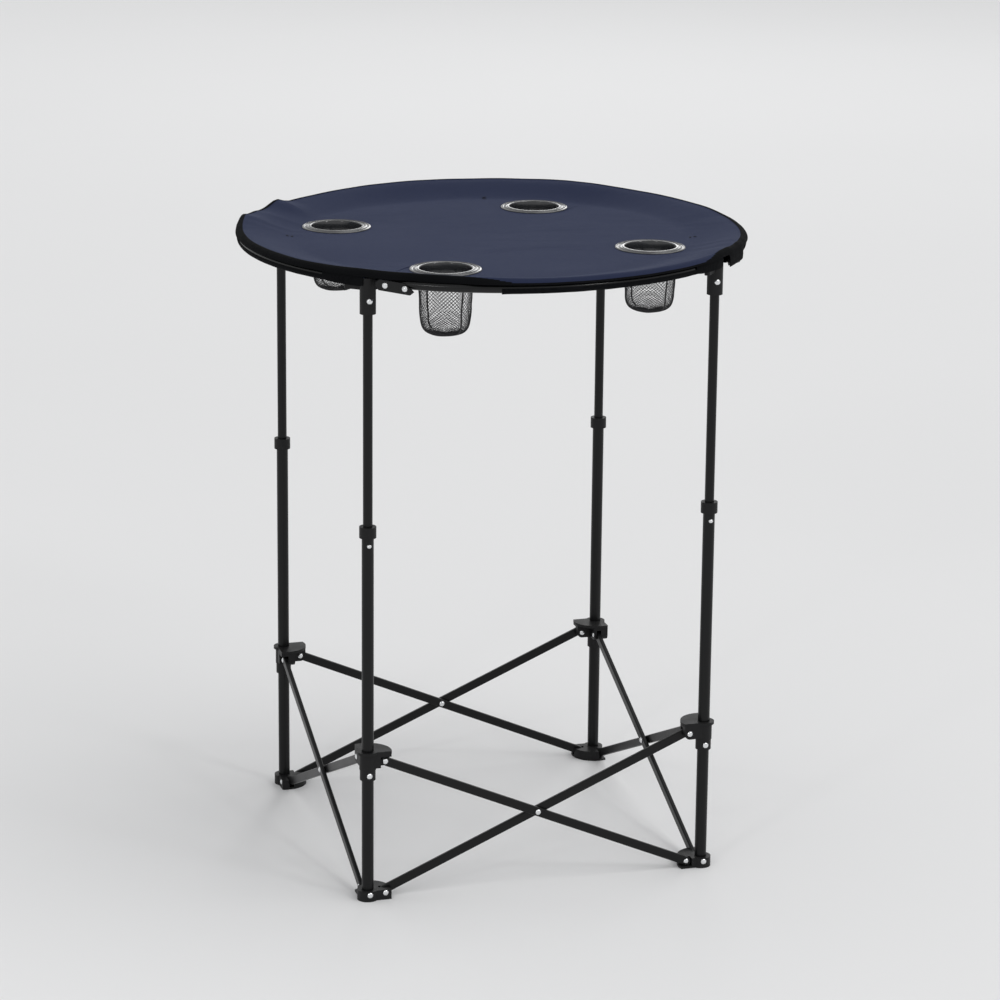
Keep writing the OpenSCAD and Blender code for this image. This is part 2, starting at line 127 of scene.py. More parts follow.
def applyModifiers(piece):
    graph = bpy.context.evaluated_depsgraph_get()
    mesh = bpy.data.meshes.new_from_object(piece.evaluated_get(graph), depsgraph=graph)
    piece.modifiers.clear()
    piece.data = mesh


def cupCentre(k):
    angle = math.radians(layout["startAngle"] + 90 * k + layout["cupAngle"])
    return Vector((layout["cupOff"] * math.cos(angle), layout["cupOff"] * math.sin(angle), layout["clothLevel"]))


# --- shader groups ---

def newGroup(name, inputs, outputs):
    tree = bpy.data.node_groups.new(name, "ShaderNodeTree")
    for label, kind, value in inputs:
        socket = tree.interface.new_socket(label, in_out="INPUT", socket_type=kind)
        socket.default_value = value
    for label, kind in outputs:
        tree.interface.new_socket(label, in_out="OUTPUT", socket_type=kind)
    return tree, tree.nodes.new("NodeGroupInput"), tree.nodes.new("NodeGroupOutput")


def addNode(tree, kind, settings=None, values=None):
    node = tree.nodes.new(kind)
    for key, value in (settings or {}).items():
        setattr(node, key, value)
    for key, value in (values or {}).items():
        node.inputs[key].default_value = value
    return node


def buildGrainGroup():
    # fine noise for moulded and painted surfaces: a mask and a bumped normal
    tree, entry, leave = newGroup(
        "grain",
        [("Scale", "NodeSocketFloat", 900.0), ("Depth", "NodeSocketFloat", 0.00005),
         ("Detail", "NodeSocketFloat", 3.0)],
        [("Mask", "NodeSocketFloat"), ("Normal", "NodeSocketVector")],
    )
    place = addNode(tree, "ShaderNodeTexCoord")
    cloud = addNode(tree, "ShaderNodeTexNoise", values={"Roughness": 0.55})
    bump = addNode(tree, "ShaderNodeBump", values={"Strength": 1.0})
    tree.links.new(place.outputs["Object"], cloud.inputs["Vector"])
    tree.links.new(entry.outputs["Scale"], cloud.inputs["Scale"])
    tree.links.new(entry.outputs["Detail"], cloud.inputs["Detail"])
    tree.links.new(cloud.outputs["Fac"], bump.inputs["Height"])
    tree.links.new(entry.outputs["Depth"], bump.inputs["Distance"])
    tree.links.new(cloud.outputs["Fac"], leave.inputs["Mask"])
    tree.links.new(bump.outputs["Normal"], leave.inputs["Normal"])
    return tree


def buildWeaveGroup():
    # plain weave from two crossed waves on Object coordinates, with slack creases under it
    tree, entry, leave = newGroup(
        "weave",
        [("Pitch", "NodeSocketFloat", 380.0), ("Depth", "NodeSocketFloat", 0.00012),
         ("Crease Scale", "NodeSocketFloat", 7.0), ("Crease Depth", "NodeSocketFloat", 0.004)],
        [("Mask", "NodeSocketFloat"), ("Normal", "NodeSocketVector")],
    )
    place = addNode(tree, "ShaderNodeTexCoord")
    waves = []
    for direction in ("X", "Y"):
        wave = addNode(tree, "ShaderNodeTexWave",
                       {"wave_type": "BANDS", "bands_direction": direction, "wave_profile": "SIN"},
                       {"Distortion": 0.6, "Detail": 1.0, "Detail Scale": 0.6})
        tree.links.new(place.outputs["Object"], wave.inputs["Vector"])
        tree.links.new(entry.outputs["Pitch"], wave.inputs["Scale"])
        waves.append(wave)
    cross = addNode(tree, "ShaderNodeMath", {"operation": "MULTIPLY"})
    crease = addNode(tree, "ShaderNodeTexNoise", values={"Detail": 3.0, "Roughness": 0.45, "Distortion": 0.8})
    soft = addNode(tree, "ShaderNodeBump", values={"Strength": 0.55})
    fine = addNode(tree, "ShaderNodeBump", values={"Strength": 0.7})
    tree.links.new(waves[0].outputs["Fac"], cross.inputs[0])
    tree.links.new(waves[1].outputs["Fac"], cross.inputs[1])
    tree.links.new(place.outputs["Object"], crease.inputs["Vector"])
    tree.links.new(entry.outputs["Crease Scale"], crease.inputs["Scale"])
    tree.links.new(crease.outputs["Fac"], soft.inputs["Height"])
    tree.links.new(entry.outputs["Crease Depth"], soft.inputs["Distance"])
    tree.links.new(cross.outputs["Value"], fine.inputs["Height"])
    tree.links.new(entry.outputs["Depth"], fine.inputs["Distance"])
    tree.links.new(soft.outputs["Normal"], fine.inputs["Normal"])
    tree.links.new(cross.outputs["Value"], leave.inputs["Mask"])
    tree.links.new(fine.outputs["Normal"], leave.inputs["Normal"])
    return tree


def buildWearGroup():
    # paler rubbed edges and a little dust that lies on faces that look up
    tree, entry, leave = newGroup(
        "wear",
        [("Base", "NodeSocketColor", (0.02, 0.02, 0.02, 1)), ("Rubbed", "NodeSocketColor", (0.1, 0.1, 0.1, 1)),
         ("Dust", "NodeSocketFloat", 0.12)],
        [("Color", "NodeSocketColor"), ("Mask", "NodeSocketFloat")],
    )
    shape = addNode(tree, "ShaderNodeNewGeometry")
    place = addNode(tree, "ShaderNodeTexCoord")
    cloud = addNode(tree, "ShaderNodeTexNoise", values={"Scale": 42.0, "Detail": 5.0, "Roughness": 0.6})
    rubs = addNode(tree, "ShaderNodeTexNoise", values={"Scale": 160.0, "Detail": 6.0, "Roughness": 0.65})
    edge = addNode(tree, "ShaderNodeMapRange",
                   values={"From Min": 0.62, "From Max": 0.74, "To Min": 0.0, "To Max": 0.7})
    patch = addNode(tree, "ShaderNodeMapRange", values={"From Min": 0.45, "From Max": 0.68})
    both = addNode(tree, "ShaderNodeMath", {"operation": "MULTIPLY"})
    rub = addNode(tree, "ShaderNodeMix", {"data_type": "RGBA"})
    split = addNode(tree, "ShaderNodeSeparateXYZ")
    upward = addNode(tree, "ShaderNodeMapRange", values={"From Min": 0.5, "From Max": 1.0})
    lying = addNode(tree, "ShaderNodeMath", {"operation": "MULTIPLY"})
    amount = addNode(tree, "ShaderNodeMath", {"operation": "MULTIPLY"})
    dusty = addNode(tree, "ShaderNodeMix", {"data_type": "RGBA"})
    dusty.inputs["B"].default_value = (0.32, 0.31, 0.29, 1)
    tree.links.new(place.outputs["Object"], cloud.inputs["Vector"])
    tree.links.new(place.outputs["Object"], rubs.inputs["Vector"])
    tree.links.new(rubs.outputs["Fac"], edge.inputs["Value"])
    tree.links.new(cloud.outputs["Fac"], patch.inputs["Value"])
    tree.links.new(edge.outputs["Result"], both.inputs[0])
    tree.links.new(patch.outputs["Result"], both.inputs[1])
    tree.links.new(both.outputs["Value"], rub.inputs["Factor"])
    tree.links.new(entry.outputs["Base"], rub.inputs["A"])
    tree.links.new(entry.outputs["Rubbed"], rub.inputs["B"])
    tree.links.new(shape.outputs["Normal"], split.inputs["Vector"])
    tree.links.new(split.outputs["Z"], upward.inputs["Value"])
    tree.links.new(upward.outputs["Result"], lying.inputs[0])
    tree.links.new(patch.outputs["Result"], lying.inputs[1])
    tree.links.new(lying.outputs["Value"], amount.inputs[0])
    tree.links.new(entry.outputs["Dust"], amount.inputs[1])
    tree.links.new(amount.outputs["Value"], dusty.inputs["Factor"])
    tree.links.new(rub.outputs["Result"], dusty.inputs["A"])
    tree.links.new(dusty.outputs["Result"], leave.inputs["Color"])
    tree.links.new(amount.outputs["Value"], leave.inputs["Mask"])
    return tree


grainGroup = buildGrainGroup()
weaveGroup = buildWeaveGroup()
wearGroup = buildWearGroup()


# --- materials ---

def newMaterial(name, values):
    material = bpy.data.materials.new(name)
    material.use_nodes = True
    tree = material.node_tree
    shader = tree.nodes["Principled BSDF"]
    for key, value in values.items():
        shader.inputs[key].default_value = value
    return material, tree, shader


def placeGroup(tree, group, values):
    node = tree.nodes.new("ShaderNodeGroup")
    node.node_tree = group
    for key, value in values.items():
        node.inputs[key].default_value = value
    return node


def hardMaterial(name, look):
    # painted or moulded or metal: worn colour, varied roughness, grain in the normal
    material, tree, shader = newMaterial(name, look["shader"])
    wear = placeGroup(tree, wearGroup, look["wear"])
    grain = placeGroup(tree, grainGroup, look["grain"])
    spread = addNode(tree, "ShaderNodeMapRange", values={"To Min": look["rough"][0], "To Max": look["rough"][1]})
    smudge = addNode(tree, "ShaderNodeTexNoise", values={"Scale": look["smudge"], "Detail": 4.0})
    place = addNode(tree, "ShaderNodeTexCoord")
    tree.links.new(place.outputs["Object"], smudge.inputs["Vector"])
    tree.links.new(smudge.outputs["Fac"], spread.inputs["Value"])
    tree.links.new(wear.outputs["Color"], shader.inputs["Base Color"])
    tree.links.new(spread.outputs["Result"], shader.inputs["Roughness"])
    tree.links.new(grain.outputs["Normal"], shader.inputs["Normal"])
    return material


def clothMaterial(name, look):
    # woven cloth: two yarn shades, broad handling marks, weave and creases in the normal
    material, tree, shader = newMaterial(name, look["shader"])
    weave = placeGroup(tree, weaveGroup, look["weave"])
    place = addNode(tree, "ShaderNodeTexCoord")
    broad = addNode(tree, "ShaderNodeTexNoise",
                    values={"Scale": look["broadScale"], "Detail": 4.0, "Roughness": 0.55})
    level = addNode(tree, "ShaderNodeMapRange", values={"From Min": 0.3, "From Max": 0.7})
    yarn = addNode(tree, "ShaderNodeMix", {"data_type": "RGBA"})
    yarn.inputs["A"].default_value = look["dark"]
    yarn.inputs["B"].default_value = look["light"]
    shade = addNode(tree, "ShaderNodeMix", {"data_type": "RGBA", "blend_type": "MULTIPLY"})
    shade.inputs["B"].default_value = look["handled"]
    spread = addNode(tree, "ShaderNodeMapRange", values={"To Min": look["rough"][0], "To Max": look["rough"][1]})
    tree.links.new(place.outputs["Object"], broad.inputs["Vector"])
    tree.links.new(broad.outputs["Fac"], level.inputs["Value"])
    tree.links.new(weave.outputs["Mask"], yarn.inputs["Factor"])
    tree.links.new(level.outputs["Result"], shade.inputs["Factor"])
    tree.links.new(yarn.outputs["Result"], shade.inputs["A"])
    tree.links.new(shade.outputs["Result"], shader.inputs["Base Color"])
    tree.links.new(broad.outputs["Fac"], spread.inputs["Value"])
    tree.links.new(spread.outputs["Result"], shader.inputs["Roughness"])
    tree.links.new(weave.outputs["Normal"], shader.inputs["Normal"])
    return material


blackPaint = hardMaterial("blackPaint", {
    "shader": {"Specular IOR Level": 0.24},
    "wear": {"Base": (0.0045, 0.0047, 0.005, 1), "Rubbed": (0.02, 0.02, 0.02, 1), "Dust": 0.02},
    "grain": {"Scale": 700.0, "Depth": 0.00003}, "rough": (0.24, 0.38), "smudge": 24.0})
rimPaint = hardMaterial("rimPaint", {
    "shader": {"Specular IOR Level": 0.3},
    "wear": {"Base": (0.0035, 0.0037, 0.004, 1), "Rubbed": (0.02, 0.02, 0.02, 1), "Dust": 0.02},
    "grain": {"Scale": 600.0, "Depth": 0.00002}, "rough": (0.16, 0.26), "smudge": 24.0})
blackPlastic = hardMaterial("blackPlastic", {
    "shader": {"Specular IOR Level": 0.25},
    "wear": {"Base": (0.0055, 0.0055, 0.006, 1), "Rubbed": (0.03, 0.03, 0.03, 1), "Dust": 0.03},
    "grain": {"Scale": 1500.0, "Depth": 0.00006}, "rough": (0.4, 0.58), "smudge": 60.0})
brightRivet = hardMaterial("brightRivet", {
    "shader": {"Metallic": 1.0},
    "wear": {"Base": (0.78, 0.79, 0.8, 1), "Rubbed": (0.9, 0.9, 0.9, 1), "Dust": 0.05},
    "grain": {"Scale": 1200.0, "Depth": 0.00003}, "rough": (0.16, 0.34), "smudge": 300.0})
glossRing = hardMaterial("glossRing", {
    "shader": {"Specular IOR Level": 0.6, "Coat Weight": 0.6, "Coat Roughness": 0.08},
    "wear": {"Base": (0.012, 0.013, 0.015, 1), "Rubbed": (0.08, 0.08, 0.085, 1), "Dust": 0.04},
    "grain": {"Scale": 500.0, "Depth": 0.00002}, "rough": (0.14, 0.26), "smudge": 70.0})
navyCloth = clothMaterial("navyCloth", {
    "shader": {"Specular IOR Level": 0.15, "Sheen Weight": 0.09, "Sheen Roughness": 0.45,
               "Sheen Tint": (0.45, 0.55, 0.9, 1)},
    "weave": {"Pitch": 330.0, "Depth": 0.00012, "Crease Scale": 6.0, "Crease Depth": 0.006},
    "broadScale": 3.2, "dark": (0.013, 0.018, 0.045, 1), "light": (0.023, 0.031, 0.071, 1),
    "handled": (0.86, 0.87, 0.9, 1), "rough": (0.78, 0.9)})
blackBinding = clothMaterial("blackBinding", {
    "shader": {"Specular IOR Level": 0.04, "Sheen Weight": 0.01, "Sheen Roughness": 0.4},
    "weave": {"Pitch": 260.0, "Depth": 0.0002, "Crease Scale": 30.0, "Crease Depth": 0.003},
    "broadScale": 18.0, "dark": (0.0035, 0.0038, 0.0044, 1), "light": (0.008, 0.0085, 0.0095, 1),
    "handled": (0.8, 0.8, 0.82, 1), "rough": (0.8, 0.95)})
blackNetting = clothMaterial("blackNetting", {
    "shader": {"Specular IOR Level": 0.35, "Sheen Weight": 0.1},
    "weave": {"Pitch": 500.0, "Depth": 0.0001, "Crease Scale": 40.0, "Crease Depth": 0.001},
    "broadScale": 30.0, "dark": (0.010, 0.010, 0.012, 1), "light": (0.026, 0.026, 0.030, 1),
    "handled": (0.8, 0.8, 0.8, 1), "rough": (0.5, 0.7)})
threadMaterial = clothMaterial("threadMaterial", {
    "shader": {"Specular IOR Level": 0.1},
    "weave": {"Pitch": 900.0, "Depth": 0.0001, "Crease Scale": 60.0, "Crease Depth": 0.0005},
    "broadScale": 40.0, "dark": (0.002, 0.002, 0.006, 1), "light": (0.005, 0.005, 0.012, 1),
    "handled": (0.8, 0.8, 0.8, 1), "rough": (0.5, 0.7)})
print("stage: materials made")


def dressNodes():
    finishes = [
        (("leg_rivets", "slider_rivets", "button"), brightRivet),
        (("foot", "slider", "collars", "bracket"), blackPlastic),
        (("lower_leg", "upper_leg", "bar"), blackPaint),
        (("rim",), rimPaint),
    ]
    for name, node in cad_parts.items():
        for endings, material in finishes:
            if name.endswith(endings):
                if not node.material_slots:
                    node.data.materials.append(material)
                for place in node.material_slots:
                    place.material = material
                break


dressNodes()
print("stage: frame nodes dressed")


# --- the cloth top ---

cloth = {                   # radii and heights in metres, angles in degrees
    "flat": 0.287,          # radius of the flat middle
    "crest": 0.3575,        # radius at which it meets the rim's top
    "top": 0.9138,
    "rollHeight": 0.9050,   # centre of the rolled edge over the rim tube
    "rollRadius": 0.0088,
    "rollFoot": 0.0015,     # the edge's lowest line over the roll's centre
    "edgingFrom": 98,       # angle at which the black edging starts
    "edgingInside": 0.004,  # it reaches this far inside the rim's centre line
    "edgingProud": 0.0005,
    "rollAngles": (112, 98, 94, 89, 84, 78, 72, 66, 60, 55, 50, 44, 38, 28, 18, 10),   # rows over the roll
    "edgingDrop": (-114, -101, -53, -44),   # between these angles round the table the black starts lower,
    "edgingLow": 28,        # at this angle
    "steps": 72,            # along a quarter
    "rows": [0.0, 0.015, 0.03, 0.05, 0.07, 0.09, 0.11, 0.13, 0.15, 0.165, 0.175]
            + [0.183 + 0.0052 * i for i in range(21)]       # closer at the cup rings
            + [0.296, 0.304, 0.312, 0.320, 0.328, 0.336, 0.343, 0.350],
    "thickness": 0.0011,
    "foldLine": -0.1455,    # inner side of the cup ring: the cloth inside it crumples in folding
    "cornerLine": 0.034,    # past the leg axis: the cloth before it gathers in folding
    "holeRadius": 0.0428,
    "holeMargin": 0.0015,   # faces this near the hole go too
    "holeReach": 0.0495,    # open edges within it are the hole's, and further off the seam's
    "liftFrom": 0.2,        # nothing is lifted nearer the middle
    "crestReach": 0.036,    # how far inwards the crest's lift fades
    "footShare": 0.3,       # of that lift the lowest edge takes
    "crestLine": [          # how far the edge stands off its level, in millimetres, at angles round the table
        (-180, 0.0), (-150, 0.0), (-137, 2.4), (-124, 3.4), (-111, 2.4), (-98, 0.0), (-40, 0.4), (-30, -1.5),
        (-18, -4.0), (-8, -4.0), (3, -3.2), (11, -2.1), (24, -1.6), (34, -0.6), (43, 1.0), (48.5, 3.0),
        (55, 3.5), (73, 2.2), (90, 1.5), (105, 0.2), (121, -3.0), (130, -4.0), (132.5, -1.2), (135.2, 3.5),
        (137.5, 1.2), (140.5, -2.2), (143.5, -2.9), (147, -1.6), (152.5, 2.1), (156, 5.4), (158.5, 6.6),
        (163, 3.5), (170, 0.5), (180, 0.0)],
    "drawn": (-128.0, -124.5, -113.5, -109.0),   # the edging is drawn in on the tube between these angles
    "drawIn": 0.0056, "drawDown": 0.0007,
    "creases": [            # angle, height, spread in degrees, reach inwards
        (157.5, 0.0012, 1.5, 0.095), (162.5, 0.0010, 1.6, 0.085), (147.0, 0.0012, 1.6, 0.080),
        (136.5, 0.0010, 1.5, 0.070), (-27.0, 0.0010, 1.6, 0.085), (-33.0, 0.0012, 1.8, 0.095),
        (-40.5, 0.0010, 1.7, 0.080), (-45.0, 0.0014, 5.0, 0.030)],
    "ripple": (0.00055, 7, 30),          # height of the hem's ripples, and how close they are round and across
    "rippleRadii": (0.3, 0.36),          # they start at the first radius and are full at the last
    "hang": (0.0012, 7),                 # height and closeness of the slack between rim and middle
    "hangRadii": (0.2, 0.25),
    "cupRadii": (0.052, 0.082),          # the cloth lies still round a cup ring
}


def clothProfile():
    points = []
    for radius in cloth["rows"]:
        slope = share(radius, cloth["flat"], cloth["crest"])
        rise = 0.5 * slope + 0.5 * slope * slope * (3 - 2 * slope)
        points.append((radius, 0, layout["clothLevel"] + (cloth["top"] - layout["clothLevel"]) * rise))
    for degrees in cloth["rollAngles"]:
        reach = cloth["rollRadius"] + (cloth["edgingProud"] if degrees < cloth["edgingFrom"] - 2 else 0)
        angle = math.radians(degrees)
        points.append((layout["rimRadius"] + reach * math.cos(angle), 0,
                       cloth["rollHeight"] + reach * math.sin(angle)))
    return points


def roundTable(degrees):
    # an angle written from -180 to 180
    return (degrees + 180) % 360 - 180


def crestHeight(degrees):
    degrees = roundTable(degrees)
    for (first, low), (last, high) in zip(cloth["crestLine"], cloth["crestLine"][1:]):
        if degrees <= last:
            return (low + (high - low) * (degrees - first) / (last - first)) / 1000
    return 0


def between(degrees, begin, full, last, end):
    # 0 outside two angles round the table, 1 well inside them
    return min(share(degrees, begin, full), share(-degrees, -end, -last))


def creaseHeight(degrees, radius):
    height = 0
    for angle, rise, spread, reach in cloth["creases"]:
        near = math.exp(-abs(roundTable(degrees - angle) / spread) ** 1.3)
        if radius < layout["rimRadius"]:
            near *= math.exp(-((layout["rimRadius"] - radius) / reach) ** 2)
        height += rise * near
    return height


def slackHeight(place, degrees, radius):
    # fine ripples along the hem, and the broad slack inside it
    x, y = math.cos(math.radians(degrees)), math.sin(math.radians(degrees))
    height, closeRound, closeAcross = cloth["ripple"]
    outer = share(radius, *cloth["rippleRadii"])
    ripple = height * outer * noise.noise(Vector((x * closeRound, y * closeRound, radius * closeAcross)))
    height, close = cloth["hang"]
    hang = height * noise.noise(Vector((x * radius * close, y * radius * close, 2.3)))
    away = (place - cupCentre(0)).to_2d().length
    calm = share(away, *cloth["cupRadii"]) * share(radius, *cloth["hangRadii"])
    return ripple + hang * calm * (1 - outer)


def raiseEdge(bm, k):
    # slack cloth over the rim, by place on the whole table so that neighbouring quarters agree
    for vert in bm.verts:
        radius = math.hypot(vert.co.x, vert.co.y)
        if radius < cloth["liftFrom"]:
            continue
        degrees = math.degrees(math.atan2(vert.co.y, vert.co.x)) + 90 * k
        lift = crestHeight(degrees)
        drawn = 0
        if radius < layout["rimRadius"]:
            lift *= math.exp(-((layout["rimRadius"] - radius) / cloth["crestReach"]) ** 2)
        else:   # the crest moves, and the edge below it much less
            high = share(vert.co.z - cloth["rollHeight"], cloth["rollFoot"], cloth["top"] - cloth["rollHeight"])
            drawn = (1 - high) * between(roundTable(degrees), *cloth["drawn"])
            lift *= cloth["footShare"] + (1 - cloth["footShare"]) * high
            lift -= cloth["drawDown"] * drawn
        lift += creaseHeight(degrees, radius) + slackHeight(vert.co, degrees, radius)
        vert.co += Vector((0, 0, lift)) - outwardAt(vert.co) * cloth["drawIn"] * drawn


def edgingStart(degrees):
    # the angle over the roll at which the black edging starts
    return cloth["edgingFrom"] + (cloth["edgingLow"] - cloth["edgingFrom"]) * between(degrees, *cloth["edgingDrop"])


def clothQuarter(k):
    bm = bmesh.new()
    spinProfile(bm, clothProfile(), angle=math.pi / 2, steps=cloth["steps"])
    turnToStart(bm)
    centre = cupCentre(0)
    cut = cloth["holeRadius"] + cloth["holeMargin"]
    inside = [face for face in bm.faces if (face.calc_center_median() - centre).to_2d().length < cut]
    bmesh.ops.delete(bm, geom=inside, context="FACES")
    for vert in bm.verts:
        away = (vert.co - centre).to_2d()
        if vert.is_boundary and away.length < cloth["holeReach"]:
            away *= cloth["holeRadius"] / away.length
            vert.co.x, vert.co.y = centre.x + away.x, centre.y + away.y
    for face in bm.faces:
        middle = face.calc_center_median()
        outside = math.hypot(middle.x, middle.y) - layout["rimRadius"]
        around = math.degrees(math.atan2(middle.z - cloth["rollHeight"], outside))
        place = roundTable(math.degrees(math.atan2(middle.y, middle.x)) + 90 * k)
        black = outside > -cloth["edgingInside"] and around < edgingStart(place)
        face.material_index = 1 if black else 0
    raiseEdge(bm, k)
    if sum(face.normal.z * face.calc_area() for face in bm.faces) < 0:
        bmesh.ops.reverse_faces(bm, faces=bm.faces)
    bm.normal_update()
    return bm


def cutPiece(source, planes):
    # the part of a mesh on the inner side of each plane
    bm = source.copy()
    for point, normal in planes:
        bmesh.ops.bisect_plane(bm, geom=bm.verts[:] + bm.edges[:] + bm.faces[:], plane_co=point, plane_no=normal,
                               clear_outer=True)
    return bm


def thicken(piece, thickness):
    solid = piece.modifiers.new("thickness", "SOLIDIFY")
    solid.thickness = thickness
    solid.offset = -1
    applyModifiers(piece)
    piece.data.set_sharp_from_angle(angle=math.radians(60))   # the cut walls don't shade the face


tack = {
    "angle": 30.5,          # past the corner, where the sleeve's strap is sewn under the cloth
    "radii": (0.2875, 0.2942),
    "turns": (-0.25, 0.5),   # of each bar from straight across, in radians
    "length": 0.0080, "width": 0.0030, "height": 0.0008,
}


def sewTacks(surface, k):
    # two short bars of thread through the cloth, laid on its surface
    tree = BVHTree.FromBMesh(surface)
    angle = math.radians(layout["startAngle"] + tack["angle"])
    for label, radius, turn in zip(("Inner", "Outer"), tack["radii"], tack["turns"]):
        above = Vector((radius * math.cos(angle), radius * math.sin(angle), 1))
        place, normal, index, distance = tree.ray_cast(above, Vector((0, 0, -1)))
        bm = bmesh.new()
        bmesh.ops.create_uvsphere(bm, u_segments=16, v_segments=8, radius=0.5)
        bmesh.ops.scale(bm, vec=(tack["width"], tack["length"], tack["height"] * 2), verts=bm.verts)
        bmesh.ops.rotate(bm, cent=(0, 0, 0), matrix=Matrix.Rotation(angle + turn, 3, "Z"), verts=bm.verts)
        tilt = Vector((0, 0, 1)).rotation_difference(normal if normal.z > 0 else -normal).to_matrix()
        bmesh.ops.rotate(bm, cent=(0, 0, 0), matrix=tilt, verts=bm.verts)
        bmesh.ops.translate(bm, vec=place, verts=bm.verts)
        turnToSide(bm, k)
        piece = linkMesh(sides[k] + "Tack" + label, bm, [threadMaterial])
        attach(piece, sides[k] + "_top")


def makeCloth():
    fold = cloth["foldLine"]
    gather = cloth["cornerLine"] - layout["half"]
    for k, side in enumerate(sides):
        whole = clothQuarter(k)
        parts = {
            "Panel": [((0, fold, 0), (0, 1, 0)), ((gather, 0, 0), (-1, 0, 0))],
            "Corner": [((gather, 0, 0), (1, 0, 0))],
            "Middle": [((0, fold, 0), (0, -1, 0))],
        }
        sewTacks(whole, k)
        for label, planes in parts.items():
            bm = cutPiece(whole, planes)
            area = sum(face.calc_area() for face in bm.faces)
            turnToSide(bm, k)
            piece = linkMesh(side + "Cloth" + label, bm, [navyCloth, blackBinding])
            thicken(piece, cloth["thickness"])
            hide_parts(side + "_cloth")
            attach(piece, side + "_top")
            if label == "Corner":
                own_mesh(piece)
            if label == "Middle":
                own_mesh(piece)
        whole.free()


makeCloth()
print("stage: cloth quarters made")


# --- the sleeves that hold the rim tube ---

sleeve = {
    "starts": (30.5, 13.0, 30.5, 17.5),   # degrees past each side's corner: the tube is bare before it
    "end": 83.6,            # the tube's end is bare on the saddle
    "taperFrom": 70,
    "radius": 0.0075,
    "endRadius": 0.0072,
    "arc": (10, -178),      # from under the edging round to the inside
    "arcSteps": 16,
    "steps": 54,
    "lip": (0.0007, 3),     # the open end stands away from the tube, over so many degrees
    "slack": (0.00028, 60),
    "thickness": 0.0008,
}


def makeSleeves():
    for k, side in enumerate(sides):
        bm = bmesh.new()
        start = sleeve["starts"][k]
        first, last = sleeve["arc"]
        lip, lipLength = sleeve["lip"]
        slack, closeness = sleeve["slack"]
        points = []
        for i in range(sleeve["arcSteps"] + 1):
            angle = math.radians(first + (last - first) * i / sleeve["arcSteps"])
            points.append((layout["rimRadius"] + sleeve["radius"] * math.cos(angle), 0,
                           layout["rimHeight"] + sleeve["radius"] * math.sin(angle)))
        spinProfile(bm, points, angle=math.radians(sleeve["end"] - start), steps=sleeve["steps"])
        turnToStart(bm, start)
        for vert in bm.verts:
            degrees = pastCorner(vert.co)
            centre = outwardAt(vert.co) * layout["rimRadius"] + Vector((0, 0, layout["rimHeight"]))
            taper = share(degrees, sleeve["taperFrom"], sleeve["end"])
            radius = sleeve["radius"] + (sleeve["endRadius"] - sleeve["radius"]) * taper
            radius += lip * max(0, 1 - (degrees - start) / lipLength)
            radius += slack * noise.noise(vert.co * closeness + Vector((k * 3.1, 0, 0)))
            vert.co = centre + (vert.co - centre).normalized() * radius
        faceOutwards(bm, layout["rimHeight"] - 0.002)
        area = sum(face.calc_area() for face in bm.faces)
        turnToSide(bm, k)
        piece = linkMesh(side + "Sleeve", bm, [blackBinding])
        thicken(piece, sleeve["thickness"])
        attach(piece, side + "_top")


makeSleeves()
print("stage: sleeves made")


# --- loose ends of the hem: over the front right plate, and over the tube's end at each corner ---

hemEnds = {
    "steps": 20,
    "thickness": 0.0009,
    "sway": (0.0004, 34),
    "easeLength": 4,                # degrees over which an end leaves the sleeve
    "PlateFlap": {
        "from": 2.7, "to": 13.8,    # degrees past the side's first corner
        "profile": [(0.3668, 0.9098), (0.3689, 0.9086), (0.3703, 0.9062), (0.3710, 0.9020), (0.3711, 0.8962),
                    (0.3706, 0.8912)],
        "narrowFrom": 11.0,         # from here it draws in to the sleeve and its lower edge rises
        "drawIn": 0.0026, "rise": 0.0035,
        "easeIn": 0, "easeUp": 0,
        "flat": (0.072, 0.021)},
    "CornerTab": {
        "from": 79.0, "to": 89.9,
        "profile": [(0.3673, 0.9078), (0.3681, 0.9050), (0.3684, 0.9010), (0.3683, 0.8965), (0.3679, 0.8938)],
        "narrowFrom": 88.5,
        "drawIn": 0, "rise": 0.0012,
        "easeIn": 0.0014, "easeUp": 0.0022,
        "flat": (0.0705, 0.0145)},
}


def makeHemEnd(k, label):
    part = hemEnds[label]
    sway, closeness = hemEnds["sway"]
    bm = bmesh.new()
    spinProfile(bm, [(radius, 0, height) for radius, height in part["profile"]],
                angle=math.radians(part["to"] - part["from"]), steps=hemEnds["steps"])
    turnToStart(bm, part["from"])
    top = part["profile"][0][1]
    bottom = part["profile"][-1][1]
    for vert in bm.verts:
        degrees = pastCorner(vert.co)
        low = (top - vert.co.z) / (top - bottom)
        begin = max(0, 1 - (degrees - part["from"]) / hemEnds["easeLength"]) ** 2
        finish = share(degrees, part["narrowFrom"], part["to"]) ** 2
        wave = sway * low * math.sin(math.radians(degrees) * closeness)
        vert.co += outwardAt(vert.co) * (wave - part["drawIn"] * finish - part["easeIn"] * begin)
        vert.co.z += low * (part["rise"] * finish + part["easeUp"] * begin)
    faceOutwards(bm)
    area = sum(face.calc_area() for face in bm.faces)
    turnToSide(bm, k)
    piece = linkMesh(sides[k] + label, bm, [blackBinding])
    thicken(piece, hemEnds["thickness"])
    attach(piece, sides[k] + "_top")


makeHemEnd(1, "PlateFlap")
for sideNumber in range(4):
    makeHemEnd(sideNumber, "CornerTab")
print("stage: hem ends made")


# --- cup rings ---

